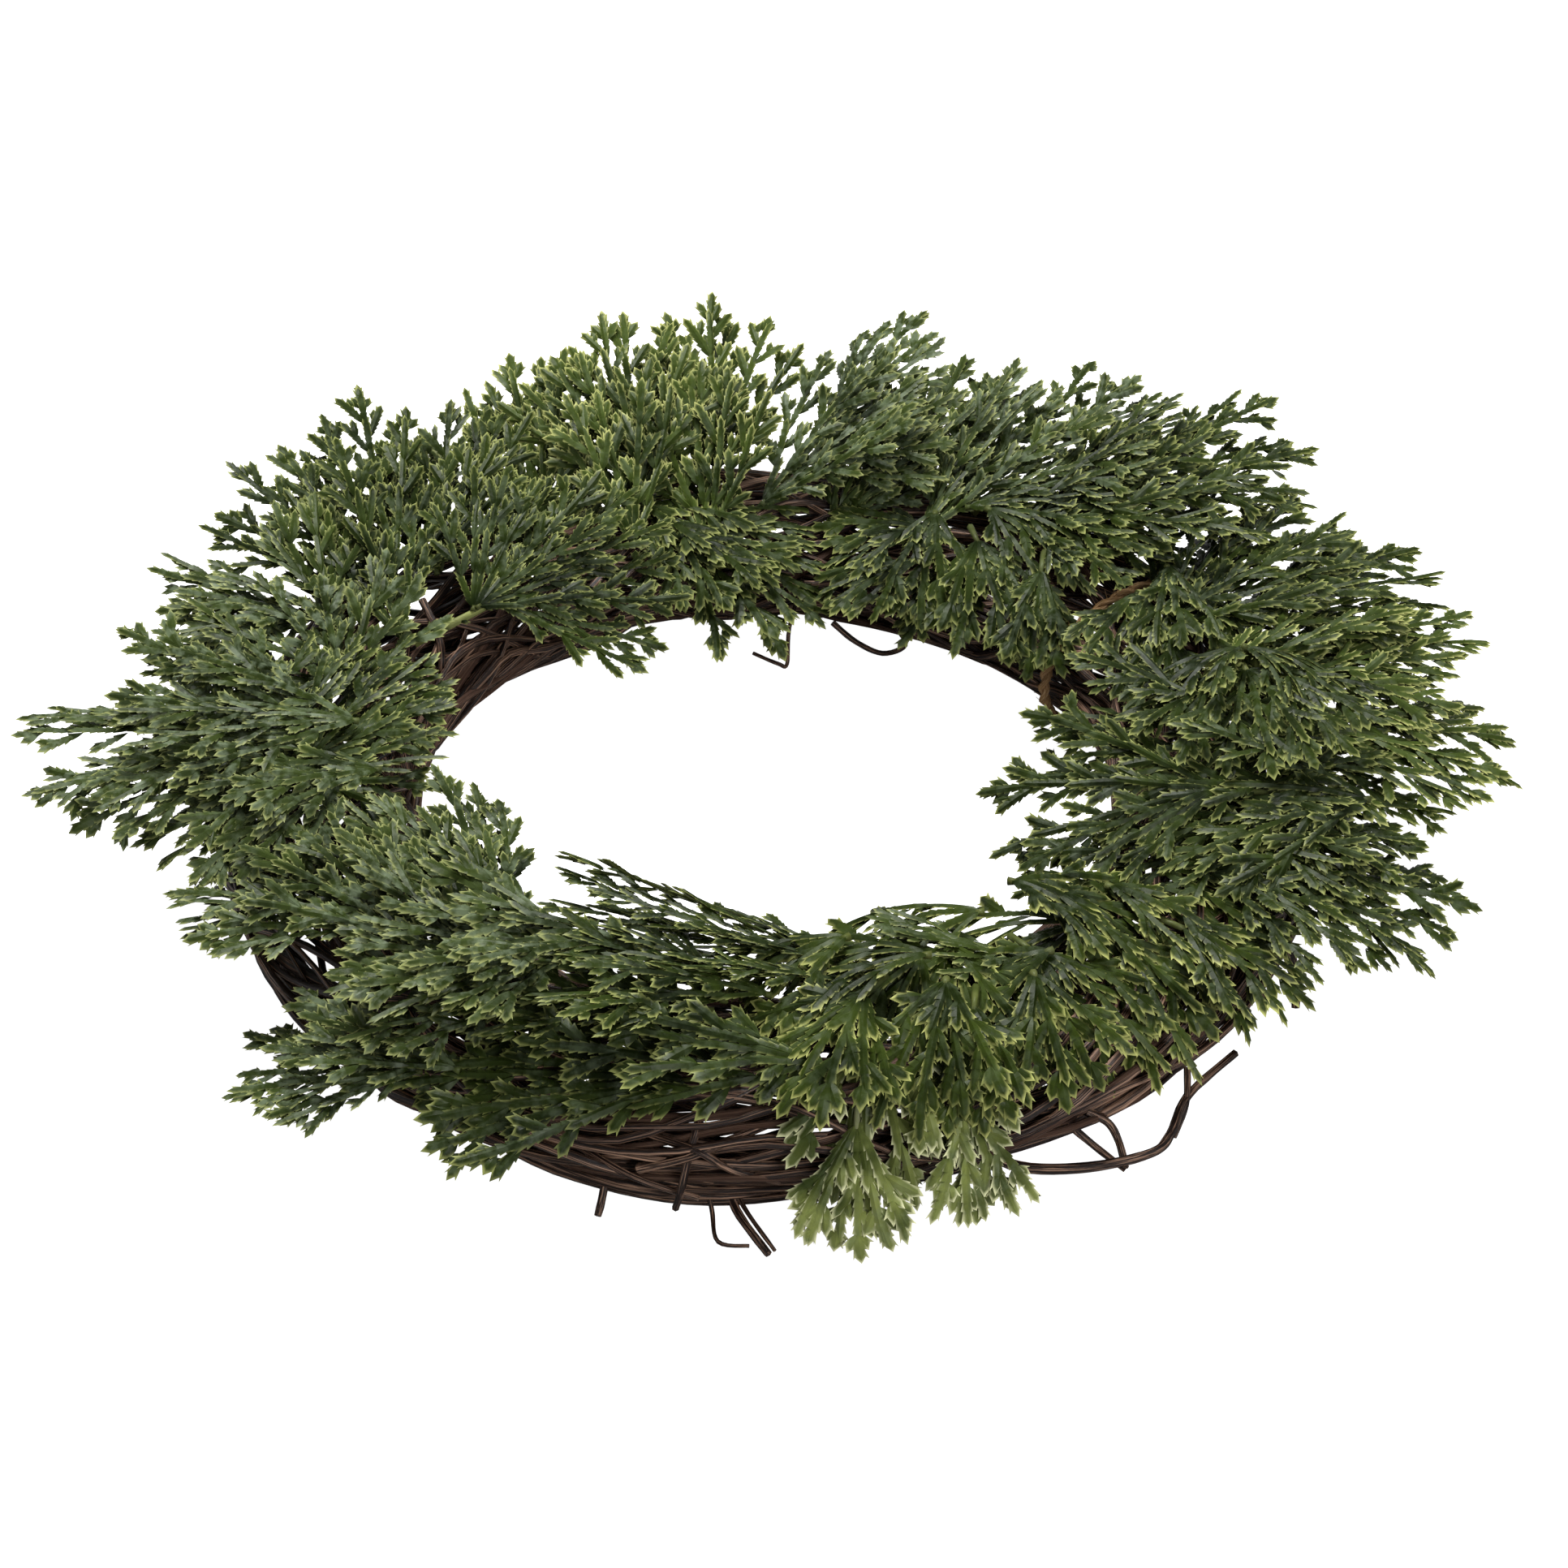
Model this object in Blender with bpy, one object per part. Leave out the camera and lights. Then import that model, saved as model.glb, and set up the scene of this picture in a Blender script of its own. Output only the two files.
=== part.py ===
"""Cedar candle ring: moulded cedar sprays tucked on a round of dark grapevine.

Lengths are metres, +Z is up, the table is z = 0 and the axis of the candle
opening is the Z axis. +X is the wide way across the foliage.
"""
import math

import bmesh
import bpy
from mathutils import Euler, Matrix, Vector
from mathutils.bvhtree import BVHTree

MM = 0.001

# ---- the vine round -------------------------------------------------------
RING_R = 94.0          # middle of the bundle, from the axis
BUNDLE_WIDE = 21.6     # half width of the bundle, in to out
BUNDLE_HIGH = 15.0     # half height of the bundle
VINE_R = 1.7           # a vine is 3.4 mm thick
GAP = 0.35             # air left between two vines that cross
HOOP_TOP = 2 * VINE_R * math.cos(math.pi / 6)
BUNDLE_Z = HOOP_TOP + GAP + BUNDLE_HIGH
STEPS = 40             # straight pieces in one vine

# layer: vines in it, whole twists in one round, how deep under the skin
LAYERS = (
    ("outer", 8, 2, 0.0),
    ("inner", 4, -1, 2 * VINE_R + GAP),
)

# ---- the jute tie ---------------------------------------------------------
TIE_R = 1.35
TIE_ANGLE = 33.0       # where it sits round the ring
TIE_FROM = -62.0       # its outer end, below the bundle's outer side
TIE_STEPS = 18

# ---- loose twig ends, each a run of points x, y, z ------------------------
TWIGS = {
    "twig_long_bent": (1.5, ((41, -104, 10), (47, -106, 9), (72, -101, 8), (78, -89, 9), (90, -74, 10))),
    "twig_hanging": (1.5, ((101, -51, 20), (102.5, -52.5, 17), (103.5, -57, 8))),
    "twig_front_split": (1.3, ((-6.5, -109, 6), (-4, -112, 3.5), (0, -118.5, 1.6))),
    "twig_back_loop": (1.2, (
        (14.5, 73, 12), (19.5, 71.5, 8), (25.5, 70.5, 5.5), (30.5, 71.5, 7), (28.5, 72.5, 11))),
}

# ---- the cedar sprays -----------------------------------------------------
PLATE = 1.4            # thickness of a spray with its raised ribs
STEM_WIDE = 3.2
NECK = 1.0             # how far the stem runs in under the palm
PALM_SHARE = 0.2       # the palm's radius, of the whole length
SIDE_SHORTER = 0.22    # how much shorter the outermost branches would be
BRANCH_HALF = 4.6      # half width of a branch at most
TIP_HALF = 0.8
BRANCH_SWELL = ((0.45, 0.36), (0.76, 0.40))   # share of its length, of its room
CUP = 0.0022           # hollow across the underside, per mm
COAT = 1.5 * GAP       # air kept round a spray as it is set down
LIFT_STEP = 0.1

# Each spray: where its stem is tucked in (x, y) and the lowest it may lie (z),
# the way it points seen from above, how steeply it rises, how far it bends down
# along its length, its roll (left side up), its length, half its spread, its
# branches and its bare stem. Each is let down on what was laid before it.
SPRAYS = {
    # name: x, y, z, heading, rise, bend, roll, length, spread, branches, stem
    "spray_right_wide": (98, 1, 28, 5, 8, 30, 0, 60, 40, 7, 12),
    "spray_right_second": (98, 16, 28, 27, 12, 26, 0, 58, 32, 6, 10),
    "spray_right_rear": (90, 38, 28, 20, 16, 20, 0, 59, 34, 6, 10),
    "spray_rear_right_second": (57, 75, 29, -10, 8, 14, 0, 48, 34, 6, 8),
    "spray_rear_right": (66, 72, 29, 22, 20, 16, 0, 60, 32, 6, 10),
    "spray_rear_slim": (45, 84, 30, 38, 24, 8, 0, 56, 28, 5, 14),
    "spray_rear_mid": (23, 92, 26, 47, 26, 8, 0, 48, 30, 5, 10),
    "spray_rear_tall": (3, 96, 28, 42, 34, 10, 0, 53, 36, 6, 18),
    "spray_rear_left": (-12, 90, 30, 86, 40, 6, 0, 48, 38, 6, 8),
    "spray_rear_left_second": (-29, 86, 26, 92, 37, 6, 0, 47, 32, 5, 8),
    "spray_behind_fan": (-49, 79, 22, 90, 37, 4, 0, 51, 30, 5, 10),
    "spray_great_fan": (-74, 36, 28, 26, 16, 10, 26, 62, 64, 9, 20),
    "spray_rear_inner": (-20, 80, 22, -42, 8, 35, 0, 43, 45, 6, 7),
    "spray_rear_small": (38, 71, 28, 208, 6, 30, 0, 32, 34, 5, 7),
    "spray_hanging_rear": (44, 68, 32, -78, 6, 50, 0, 40, 38, 6, 7),
    "spray_hanging_side": (58, 58, 30, -84, 4, 50, 0, 40, 34, 5, 8),
    "spray_right_inner_rear": (84, 40, 32, -95, 6, 24, 0, 38, 34, 5, 8),
    "spray_right_inner": (101, -29, 30, 189, 12, 26, -18, 61, 50, 8, 14),
    "spray_right_crown": (90, -27, 30, -6, 12, 22, 0, 45, 54, 7, 10),
    "spray_right_low": (88, -45, 27, -3, 8, 32, 0, 53, 38, 7, 10),
    "spray_umbrella": (96, 18, 36, -88, 34, 60, 0, 56, 76, 9, 20),
    "spray_front_hanging": (17, -107, 26, -95, -20, 55, 0, 34, 36, 6, 8),
    "spray_front_hanging_right": (34, -104, 24, -72, -20, 50, 0, 31, 32, 5, 7),
    "spray_front_right_side": (74, -60, 28, -35, 4, 45, 0, 37, 42, 6, 8),
    "spray_front_right_fan": (46, -72, 30, -50, 6, 60, 0, 38, 52, 7, 8),
    "spray_front_mid": (39, -88, 30, -96, 4, 55, 0, 33, 40, 6, 7),
    "spray_front_fan": (22, -90, 32, -126, 8, 60, 0, 37, 56, 7, 8),
    "spray_front_short": (54, -76, 28, 172, 18, 10, 0, 38, 24, 5, 8),
    "spray_front_inner": (26, -84, 28, 164, 16, 8, 0, 72, 18, 5, 12),
    "spray_front_left_wide": (-8, -106, 26, 184, 3, 10, -24, 60, 27, 7, 8),
    "spray_front_left_crown": (-10, -93, 32, 174, 8, 12, 0, 50, 30, 6, 8),
    "spray_front_left": (-38, -84, 32, 188, 9, 8, 0, 45, 28, 6, 7),
    "spray_left_front_outer": (-66, -97, 20, 156, -2, 8, 0, 40, 34, 6, 7),
    "spray_left_front": (-78, -66, 29, 142, 6, 18, 0, 44, 44, 7, 8),
    "spray_left_side": (-86, -28, 30, 192, 4, 30, 0, 42, 44, 6, 8),
    "spray_left_inner": (-46, -78, 28, 124, 22, 6, 0, 54, 44, 8, 8),
    "spray_left_wide": (-92, -8, 30, 182, 3, 10, 0, 62, 38, 7, 10),
    "spray_left_rear": (-93, 17, 30, 158, 8, 10, 0, 40, 40, 6, 8),
    "spray_left_crown": (-104, -12, 30, 28, 18, 6, 0, 48, 44, 6, 16),
    "spray_left_small": (-97, 41, 28, 165, 12, 4, 0, 34, 36, 5, 7),
    "spray_rear_left_tall": (-80, 50, 28, 104, 20, 4, 0, 60, 30, 6, 8),
    "spray_rear_left_inner": (-70, 60, 30, 80, 24, 4, 0, 48, 30, 5, 8),
}


def new_collection(name):
    coll = bpy.data.collections.new(name)
    bpy.context.scene.collection.children.link(coll)
    return coll


def material(name, colour, rough):
    mat = bpy.data.materials.new(name)
    mat.use_nodes = True
    shader = mat.node_tree.nodes["Principled BSDF"]
    shader.inputs["Base Color"].default_value = (*colour, 1.0)
    shader.inputs["Roughness"].default_value = rough
    mat.diffuse_color = (*colour, 1.0)
    return mat


def tube(name, points, radius, mat, closed=False):
    """A six-sided twig along a run of points, with flat cut ends."""
    curve = bpy.data.curves.new(name, "CURVE")
    curve.dimensions = "3D"
    curve.bevel_depth = radius
    curve.bevel_resolution = 1
    curve.use_fill_caps = not closed
    curve.twist_mode = "Z_UP"
    run = curve.splines.new("POLY")
    run.points.add(len(points) - 1)
    run.use_cyclic_u = closed
    for spot, p in zip(run.points, points):
        spot.co = (*p, 1.0)
    curve.materials.append(mat)
    obj = bpy.data.objects.new(name, curve)
    PART.objects.link(obj)
    return obj


def round_middle(turn):
    """Distance of the bundle's middle from the axis: the round is not quite true."""
    return RING_R - 1.8 * math.cos(2 * turn) + 0.6 * math.sin(5 * turn)


def on_bundle(turn, around, deep):
    """A point of the bundle: its place round the ring, round the section, and depth."""
    wide = BUNDLE_WIDE - VINE_R - deep
    high = BUNDLE_HIGH - VINE_R - deep
    far = round_middle(turn) + wide * math.cos(around)
    return Vector((far * math.cos(turn), far * math.sin(turn),
                   BUNDLE_Z + high * math.sin(around))) * MM


def lay_vines(mat):
    for layer, count, twists, deep in LAYERS:
        for k in range(count):
            points = []
            for i in range(STEPS):
                turn = 2 * math.pi * i / STEPS
                around = 2 * math.pi * k / count + twists * turn
                points.append(on_bundle(turn, around, deep))
            tube(f"vine_{layer}_{k + 1}", points, VINE_R * MM, mat, closed=True)


def lay_hoop(mat):
    """The lowest vine, lying flat: its level underside is what the ring rests on."""
    points = []
    for i in range(STEPS):
        turn = 2 * math.pi * i / STEPS
        far = round_middle(turn)
        points.append(Vector((far * math.cos(turn), far * math.sin(turn), HOOP_TOP / 2)) * MM)
    tube("vine_base_hoop", points, VINE_R * MM, mat, closed=True)


def lay_tie(mat):
    """Jute twine hooked over the bundle, open underneath where its two ends come down."""
    turn = math.radians(TIE_ANGLE)
    points = []
    for i in range(TIE_STEPS + 1):
        around = math.radians(TIE_FROM + (180 - 2 * TIE_FROM) * i / TIE_STEPS)
        points.append(on_bundle(turn, around, -VINE_R - TIE_R - GAP))
    tube("jute_tie", points, TIE_R * MM, mat)


def spray_plate(length, spread, branches, stem):
    """A flat spray along +X: bare stem, palm and a fan of leafy branches."""
    bm = bmesh.new()
    palm = PALM_SHARE * length
    reach = length - stem
    step = 2 * math.radians(spread) / branches
    first = -math.radians(spread)
    rim = []
    for i in range(branches + 1):
        a = first + i * step
        rim.append(bm.verts.new((stem + palm * math.cos(a), palm * math.sin(a), 0.0)))
    half = STEM_WIDE / 2
    neck = [bm.verts.new((stem - NECK, y, 0.0)) for y in (half, -half)]
    bm.faces.new(rim + neck)

    # the stem grows back from the neck
    edge = bm.edges.get(neck)
    grown = bmesh.ops.extrude_edge_only(bm, edges=[edge])["geom"]
    for v in (g for g in grown if isinstance(g, bmesh.types.BMVert)):
        v.co.x = 0.0
        v.co.y *= 0.8

    # each branch grows out of its own edge of the rim, swelling and then narrowing
    for i in range(branches):
        mid = first + (i + 0.5) * step
        side = abs(mid) / math.radians(spread)
        tip = reach * (1.0 - SIDE_SHORTER * side * side)
        edge = bm.edges.get((rim[i], rim[i + 1]))
        for share, room in BRANCH_SWELL + ((1.0, 1.0),):
            far = palm + (tip - palm) * share
            half = TIP_HALF if share == 1.0 else BRANCH_HALF
            fan = min(room * step, half / far)
            grown = bmesh.ops.extrude_edge_only(bm, edges=[edge])["geom"]
            ends = [g for g in grown if isinstance(g, bmesh.types.BMVert)]
            ends.sort(key=lambda v: math.atan2(v.co.y, v.co.x - stem))
            for v, way in zip(ends, (-1, 1)):
                a = mid + way * fan
                v.co = (stem + far * math.cos(a), far * math.sin(a), 0.0)
            edge = bm.edges.get(ends)

    skin = bmesh.ops.extrude_face_region(bm, geom=bm.faces[:] + bm.edges[:])["geom"]
    bmesh.ops.translate(bm, vec=(0, 0, PLATE), verts=[g for g in skin if isinstance(g, bmesh.types.BMVert)])
    bmesh.ops.translate(bm, vec=(0, 0, -PLATE / 2), verts=bm.verts[:])
    bmesh.ops.triangulate(bm, faces=bm.faces[:])
    bmesh.ops.recalc_face_normals(bm, faces=bm.faces[:])
    bm.verts.index_update()
    return bm


def bend_plate(bm, length, bend):
    """Curl the flat spray down along its length and cup it gently across."""
    curl = math.radians(bend) / length
    for v in bm.verts:
        x, y, z = v.co
        z -= CUP * y * y
        if abs(curl) < 1e-6:
            v.co = (x, y, z)
            continue
        a = curl * x
        v.co = (math.sin(a) / curl + z * math.sin(a), y, -(1 - math.cos(a)) / curl + z * math.cos(a))


class Pile:
    """Everything laid so far, in one search tree, so the next spray can be set down on it."""

    def __init__(self):
        self.points, self.faces, self.tree = [], [], None

    def add(self, points, faces):
        first = len(self.points)
        self.points += points
        self.faces += [tuple(first + i for i in face) for face in faces]
        self.tree = BVHTree.FromPolygons(self.points, self.faces)

    def add_object(self, obj):
        mesh = bpy.data.meshes.new_from_object(obj.evaluated_get(bpy.context.evaluated_depsgraph_get()))
        self.add([obj.matrix_world @ v.co for v in mesh.vertices], [tuple(p.vertices) for p in mesh.polygons])
        bpy.data.meshes.remove(mesh)

    def touches(self, points, faces):
        return bool(self.tree.overlap(BVHTree.FromPolygons(points, faces)))


def plant_spray(name, row, mat, pile):
    x, y, z, heading, rise, bend, roll, length, spread, branches, stem = row
    bm = spray_plate(length, spread, branches, stem)
    bend_plate(bm, length, bend)
    bmesh.ops.scale(bm, vec=(MM, MM, MM), verts=bm.verts[:])
    bm.normal_update()
    turn = Euler((math.radians(roll), -math.radians(rise), math.radians(heading)), "XYZ")
    faces = [tuple(v.index for v in face.verts) for face in bm.faces]

    # the same spray with a coat of air round it: it is raised until the coat is clear
    coat = [v.co + COAT * MM * v.normal for v in bm.verts]
    spot = Vector((x, y, z)) * MM
    while True:
        place = Matrix.LocRotScale(spot, turn, None)
        if not pile.touches([place @ p for p in coat], faces):
            break
        spot.z += LIFT_STEP * MM
    pile.add([place @ v.co for v in bm.verts], faces)

    mesh = bpy.data.meshes.new(name)
    bm.to_mesh(mesh)
    bm.free()
    mesh.materials.append(mat)
    obj = bpy.data.objects.new(name, mesh)
    obj.location = spot
    obj.rotation_euler = turn
    PART.objects.link(obj)
    return obj


for old in list(bpy.data.objects):
    bpy.data.objects.remove(old, do_unlink=True)

PART = new_collection("cedar_candle_ring")
VINE = material("grapevine_bark", (0.045, 0.024, 0.018), 0.7)
JUTE = material("jute", (0.50, 0.33, 0.18), 0.9)
LEAF = material("cedar_green", (0.045, 0.10, 0.045), 0.55)

lay_hoop(VINE)
lay_vines(VINE)
lay_tie(JUTE)
for name, (radius, points) in TWIGS.items():
    tube(name, [Vector(p) * MM for p in points], radius * MM, VINE)
bpy.context.view_layer.update()
laid = Pile()
for obj in PART.objects:
    laid.add_object(obj)
for name, row in SPRAYS.items():
    plant_spray(name, row, LEAF, laid)
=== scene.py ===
# %% [markdown]
# # A cedar candle ring
# A candle ring is a small wreath that lies flat on a table round a pillar candle. This one is a round
# of thin, dark grapevine twigs, with a jute tie, and moulded cedar sprays tucked in all the way round.
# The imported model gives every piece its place. We load it first, and then dress each of its nodes with
# the shape and the surface that the real piece has.

# %% Load the frame
import math
import random

import bmesh
import bpy
from mathutils import Euler, Matrix, Vector, noise


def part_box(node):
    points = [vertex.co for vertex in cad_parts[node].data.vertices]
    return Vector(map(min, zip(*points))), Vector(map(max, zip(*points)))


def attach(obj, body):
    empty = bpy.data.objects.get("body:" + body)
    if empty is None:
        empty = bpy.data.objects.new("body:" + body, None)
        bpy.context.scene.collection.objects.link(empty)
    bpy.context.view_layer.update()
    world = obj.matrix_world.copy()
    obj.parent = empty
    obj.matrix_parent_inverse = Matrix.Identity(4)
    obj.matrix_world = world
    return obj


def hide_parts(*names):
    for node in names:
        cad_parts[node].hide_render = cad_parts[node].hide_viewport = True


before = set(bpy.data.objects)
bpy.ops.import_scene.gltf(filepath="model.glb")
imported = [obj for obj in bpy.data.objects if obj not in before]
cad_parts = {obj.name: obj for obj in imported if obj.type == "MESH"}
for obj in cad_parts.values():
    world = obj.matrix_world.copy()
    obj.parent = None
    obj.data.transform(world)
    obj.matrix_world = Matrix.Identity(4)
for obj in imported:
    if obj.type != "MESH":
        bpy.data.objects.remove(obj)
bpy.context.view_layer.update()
MM = 0.001

# %% [markdown]
# ## The stage
# Small table pieces like this are shown on a light table: a white sheet lit so well that no edge of it
# can be seen. One large plane does that. To the camera it glows white, so shadows stay faint on it; to
# all other light it is a mid grey that throws little light up into the sprays. The camera looks down at
# 36 degrees from an arm's length and a half, with a long lens, so the near side isn't swollen.

# %% The floor and the camera
EYE_HEIGHT = math.radians(36)  # how far above the table the eye stands
EYE_AWAY = 0.900  # from the middle of the ring, in metres
LONG_LENS = 100.6  # mm
RING_MIDDLE = Vector((0.0, 0.0, 0.016))
AIM_RIGHT, AIM_UP = 3.5 * MM, 4.0 * MM  # how far past that middle the camera looks
FLOOR_REACH = 6.0  # metres, far past the edge of the view

scene = bpy.context.scene
scene.view_settings.view_transform = "Standard"


def as_mesh(bm, name):
    """Turn a finished bmesh into a mesh, and let the bmesh go."""
    mesh = bpy.data.meshes.new(name)
    bm.to_mesh(mesh)
    bm.free()
    return mesh


def set_inputs(node, values):
    """Give a shader node's sockets their plain values."""
    for socket, value in values.items():
        node.inputs[socket].default_value = value


bm = bmesh.new()
bmesh.ops.create_grid(bm, x_segments=1, y_segments=1, size=FLOOR_REACH)
floor_mesh = as_mesh(bm, "floor")
floor = bpy.data.objects.new("floor", floor_mesh)
scene.collection.objects.link(floor)

white = bpy.data.materials.new("white_table")
white.use_nodes = True
table_top = white.node_tree.nodes["Principled BSDF"]
set_inputs(table_top, {"Base Color": (0.5, 0.5, 0.5, 1.0), "Roughness": 0.9,
                       "Emission Color": (1.0, 1.0, 1.0, 1.0)})
seen = white.node_tree.nodes.new("ShaderNodeLightPath")
white.node_tree.links.new(seen.outputs["Is Camera Ray"], table_top.inputs["Emission Strength"])
floor_mesh.materials.append(white)

camera = bpy.data.objects.new("camera", bpy.data.cameras.new("camera"))
scene.collection.objects.link(camera)
camera.data.lens = LONG_LENS
back = Vector((0.0, -math.cos(EYE_HEIGHT), math.sin(EYE_HEIGHT)))
up = Vector((0.0, math.sin(EYE_HEIGHT), math.cos(EYE_HEIGHT)))
camera.location = RING_MIDDLE + back * EYE_AWAY
aim = RING_MIDDLE + Vector((AIM_RIGHT, 0.0, 0.0)) + up * AIM_UP
camera.rotation_euler = (aim - camera.location).to_track_quat("-Z", "Y").to_euler()
scene.camera = camera
print("camera", [round(c, 3) for c in camera.location], "m, lens", LONG_LENS, "mm")

# %% [markdown]
# ## The light
# Soft boxes give broad light with soft, short shadows. One large box hangs over the ring and a little
# behind it, which puts the pale sheen on the sprays' upper faces, and a weaker one stands by the camera.
# The surroundings fill the rest: full white to the camera, and much dimmer as a light, because the
# hollows between the sprays have to stay dark.

# %% Soft boxes and surroundings
ROOM_LIGHT = 0.15  # what the white surroundings give as a light


def soft_box(name, place, size, power):
    lamp = bpy.data.lights.new(name, "AREA")
    lamp.shape = "SQUARE"
    lamp.size = size
    lamp.energy = power
    box = bpy.data.objects.new(name, lamp)
    box.location = place
    box.rotation_euler = (RING_MIDDLE - Vector(place)).to_track_quat("-Z", "Y").to_euler()
    scene.collection.objects.link(box)


soft_box("box_overhead", place=(-0.2, 0.35, 1.2), size=0.6, power=21.0)
soft_box("box_by_camera", place=(0.6, -1.0, 0.8), size=0.5, power=8.0)
world = bpy.data.worlds.new("white_room")
world.use_nodes = True
sky = world.node_tree
seen = sky.nodes.new("ShaderNodeLightPath")
level = sky.nodes.new("ShaderNodeMapRange")
set_inputs(level, {"To Min": ROOM_LIGHT, "To Max": 1.0})
sky.links.new(seen.outputs["Is Camera Ray"], level.inputs["Value"])
sky.links.new(level.outputs["Result"], sky.nodes["Background"].inputs["Strength"])
set_inputs(sky.nodes["Background"], {"Color": (1.0, 1.0, 1.0, 1.0)})
scene.world = world

# %% [markdown]
# ## Where the twigs run
# The bundle of vine is an oval in section, 43 mm wide and 30 mm high, bent into a round that isn't quite
# true. A point of it is named by its turn round the ring, its place round the oval, and its depth under
# the skin. Every vine and the tie follow that one rule, so they all fit each other and the model.

# %% A point of the bundle
RING_R = 94.0  # mm, from the ring's axis to the middle of the bundle
OVAL, UNEVEN = 1.8, 0.6  # how far the round strays from a true circle
BUNDLE_WIDE, BUNDLE_HIGH = 21.6, 15.0  # half of the width, and half of the height
VINE_R, GAP = 1.7, 0.35  # a vine's radius, and the air between two
HOOP_TOP = 2 * VINE_R * math.cos(math.pi / 6)  # the lowest vine lies on a flat of its six sides
BUNDLE_Z = HOOP_TOP + GAP + BUNDLE_HIGH


def round_middle(turn):
    return RING_R - OVAL * math.cos(2 * turn) + UNEVEN * math.sin(5 * turn)


def on_bundle(turn, around, deep):
    far = round_middle(turn) + (BUNDLE_WIDE - VINE_R - deep) * math.cos(around)
    return Vector((far * math.cos(turn), far * math.sin(turn),
                   BUNDLE_Z + (BUNDLE_HIGH - VINE_R - deep) * math.sin(around)))


hoop_low, hoop_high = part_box("vine_base_hoop")
print("the lowest vine is", round((hoop_high.x - hoop_low.x) / MM, 1), "mm across")

# %% [markdown]
# ## Twigs
# A twig is a round rod that wavers, thins and thickens, and swells at its knots. A Curve object makes the
# round skin along a run of points, which is quicker and truer at the bends than extruding a ring of
# vertices by hand. Its mesh is copied into the piece, and each vertex keeps a note of its place along
# the twig and round it, so that the bark's streaks can run with the wood.

# %% One twig
SIDES = 6  # a bevel_resolution of 1 gives six sides
GRAIN_ALONG, GRAIN_ROUND = 0.8, 3.0  # the grain note's step for each ring of vertices, and its radius


def twig_bmesh():
    """An empty bmesh whose vertices carry the grain note."""
    bm = bmesh.new()
    bm.verts.layers.float_vector.new("grain")
    return bm


def lay_twig(bm, points, thick, closed=False):
    """Add one twig to a piece: points in mm, and a thickness (radius, mm) for each of them."""
    curve = bpy.data.curves.new("twig", "CURVE")
    curve.dimensions = "3D"
    curve.bevel_depth = MM
    curve.bevel_resolution = 1
    curve.use_fill_caps = not closed
    run = curve.splines.new("POLY")
    run.points.add(len(points) - 1)
    run.use_cyclic_u = closed
    for spot, p, r in zip(run.points, points, thick):
        spot.co = (*(Vector(p) * MM), 1.0)
        spot.radius = r
    rod = bpy.data.objects.new("twig", curve)
    mesh = bpy.data.meshes.new_from_object(rod)
    bpy.data.objects.remove(rod)
    first = len(bm.verts)
    bm.from_mesh(mesh)
    bpy.data.meshes.remove(mesh)
    bpy.data.curves.remove(curve)
    bm.verts.ensure_lookup_table()
    grain = bm.verts.layers.float_vector["grain"]
    start = first * 0.37  # each twig starts at another place in the noise
    for i, v in enumerate(bm.verts[first:]):
        ring, side = divmod(i, SIDES)
        a = 2 * math.pi * side / SIDES
        v[grain] = (start + ring * GRAIN_ALONG, GRAIN_ROUND * math.cos(a), GRAIN_ROUND * math.sin(a))


def finish_piece(name, bm, material, stands_for):
    """Turn a bmesh into a named piece that rides on the ring and stands for nodes of the model."""
    mesh = as_mesh(bm, name)
    mesh.materials.append(material)
    mesh.shade_smooth()
    piece = bpy.data.objects.new(name, mesh)
    scene.collection.objects.link(piece)
    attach(piece, "root")
    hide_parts(*stands_for)


# %% [markdown]
# ## Small helpers for the finishes
# A finish is a tree of shader nodes. Making a node, a colour ramp, a group or a bump is done again and
# again below, so each gets a short function. A group's sockets are made on its interface.

# %% Shader helpers
def node(tree, kind, **values):
    made = tree.nodes.new(kind)
    for key, value in values.items():
        setattr(made, key, value)
    return made


def ramp(tree, factor, stops):
    """A colour ramp fed by a factor; stops are (place, colour)."""
    made = node(tree, "ShaderNodeValToRGB")
    band = made.color_ramp
    while len(band.elements) < len(stops):
        band.elements.new(0.5)
    for stop, (place, colour) in zip(band.elements, stops):
        stop.position = place
        stop.color = (*colour, 1.0)
    tree.links.new(factor, made.inputs["Fac"])
    return made.outputs["Color"]


def new_group(name, ins, outs):
    group = bpy.data.node_groups.new(name, "ShaderNodeTree")
    for title, kind, value in ins:
        made = group.interface.new_socket(title, in_out="INPUT", socket_type=f"NodeSocket{kind}")
        made.default_value = value
    for title, kind in outs:
        group.interface.new_socket(title, in_out="OUTPUT", socket_type=f"NodeSocket{kind}")
    return group, node(group, "NodeGroupInput").outputs, node(group, "NodeGroupOutput").inputs


def new_finish(name):
    made = bpy.data.materials.new(name)
    made.use_nodes = True
    return made, made.node_tree, made.node_tree.nodes["Principled BSDF"]


def bump_from(tree, height, shader, distance, strength):
    bump = node(tree, "ShaderNodeBump")
    set_inputs(bump, {"Distance": distance, "Strength": strength})
    tree.links.new(height, bump.inputs["Height"])
    tree.links.new(bump.outputs["Normal"], shader.inputs["Normal"])
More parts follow.
